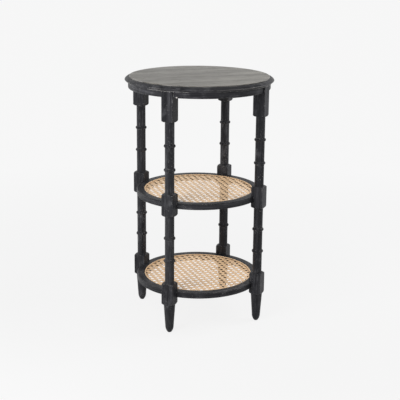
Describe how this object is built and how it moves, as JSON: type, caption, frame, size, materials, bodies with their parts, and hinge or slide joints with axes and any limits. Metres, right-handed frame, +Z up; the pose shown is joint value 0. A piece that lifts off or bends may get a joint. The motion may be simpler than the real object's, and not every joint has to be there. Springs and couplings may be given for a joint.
{
  "type": "tiered side table",
  "caption": "Tall round side table: moulded top on turned legs, with ring-framed shelves of open woven cane below it, in black painted wood.",
  "frame": {"origin": "on the floor, at the table's vertical axis", "axes": "+Z up; +X and +Y point out through the open bays, with the legs on the diagonals"},
  "size_m": [0.4, 0.4, 0.668],
  "materials": {
    "black_wood": "satin black paint, slightly worn",
    "cane": "natural woven cane",
    "reed": "natural reed",
    "dowel_wood": "bare beech",
    "steel": "zinc plated"
  },
  "bodies": {
    "root": {"tabletop": "black_wood", "front_apron_rail": "black_wood", "right_apron_rail": "black_wood", "back_apron_rail": "black_wood", "left_apron_rail": "black_wood", "front_left_leg": "black_wood", "front_right_leg": "black_wood", "back_right_leg": "black_wood", "back_left_leg": "black_wood", "middle_shelf_ring": "black_wood", "lower_shelf_ring": "black_wood", "middle_cane_panel": "cane", "middle_cane_spline": "reed", "middle_shelf_screws": "steel", "lower_cane_panel": "cane", "lower_cane_spline": "reed", "lower_shelf_screws": "steel", "tabletop_screws": "steel", "apron_dowels": "dowel_wood"}
  },
  "joints": []
}
